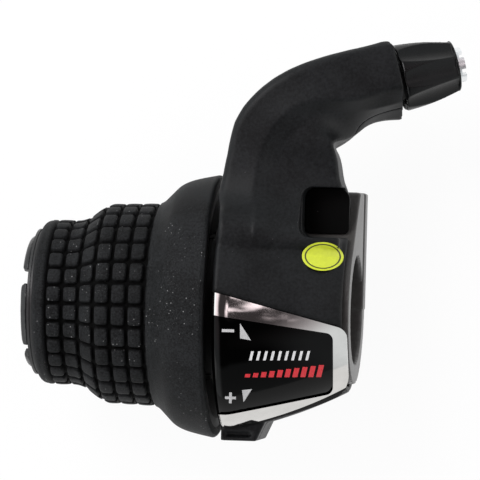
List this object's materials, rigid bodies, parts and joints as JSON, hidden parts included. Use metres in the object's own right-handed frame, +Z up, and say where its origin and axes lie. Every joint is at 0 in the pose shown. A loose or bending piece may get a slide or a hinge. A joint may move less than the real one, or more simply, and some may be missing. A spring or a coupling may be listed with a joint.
{
  "type": "twist grip shifter",
  "caption": "Left-hand friction twist shifter for a flat handlebar: ribbed rubber grip that turns on a sleeve, bell housing with indicator, clamp, and swan neck with a cable adjuster.",
  "frame": {"origin": "on the handlebar's axis, in the inboard face of the clamp", "axes": "+X along the bar, inboard; +Y forward, where the neck goes; +Z up to the rider's eye"},
  "size_m": [0.0896, 0.0834, 0.0542],
  "materials": {
    "bracket_plastic": "fine grain",
    "cover_plastic": "satin",
    "port_plastic": "satin",
    "bright_trim": "bright plated",
    "window_gloss": "high gloss",
    "grip_rubber": "matte moulded",
    "core_plastic": "matte",
    "washer_plastic": "matte",
    "screw_steel": "zinc plated",
    "spring_steel": "bright",
    "insert_brass": "turned",
    "adjuster_metal": "bright turned",
    "knob_plastic": "satin gloss"
  },
  "bodies": {
    "bracket": {"main_bracket": "bracket_plastic", "upper_cover": "cover_plastic", "lower_cover": "cover_plastic", "port_cover": "port_plastic", "indicator_bezel": "bright_trim", "indicator_window": "window_gloss", "clamp_bolt": "screw_steel", "clamp_nut": "screw_steel", "cover_screws": "screw_steel", "disc_spring": "spring_steel", "pressure_plate": "spring_steel", "friction_washer": "washer_plastic", "end_washer": "core_plastic", "cable_guide": "core_plastic", "adjuster_insert": "insert_brass", "adjuster_spring": "spring_steel"},
    "grip": {"grip_core": "core_plastic", "grip_rubber": "grip_rubber", "cable_drum": "core_plastic"},
    "adjuster_slide": {"detent_sleeve": "core_plastic"},
    "adjuster": {"adjuster_knob": "knob_plastic", "adjuster_bolt": "adjuster_metal"}
  },
  "joints": [
    {"name": "grip_twist", "type": "hinge", "parent": "bracket", "child": "grip", "pos_m": [0, 0, 0], "axis": [1, 0, 0], "range_deg": [0, 80]},
    {"name": "adjuster_travel", "type": "slide", "parent": "bracket", "child": "adjuster_slide", "axis": [0.9365, 0.2457, -0.2504], "range_m": [0, 0.004]},
    {"name": "adjuster_turn", "type": "hinge", "parent": "adjuster_slide", "child": "adjuster", "pos_m": [0.0071, 0.0477, 0.002], "axis": [0.9365, 0.2457, -0.2504], "range_deg": [0, 1800]}
  ],
  "couplings": [
    {"joint": "adjuster_turn", "follows": "adjuster_travel", "rad_per_m": 7854}
  ]
}
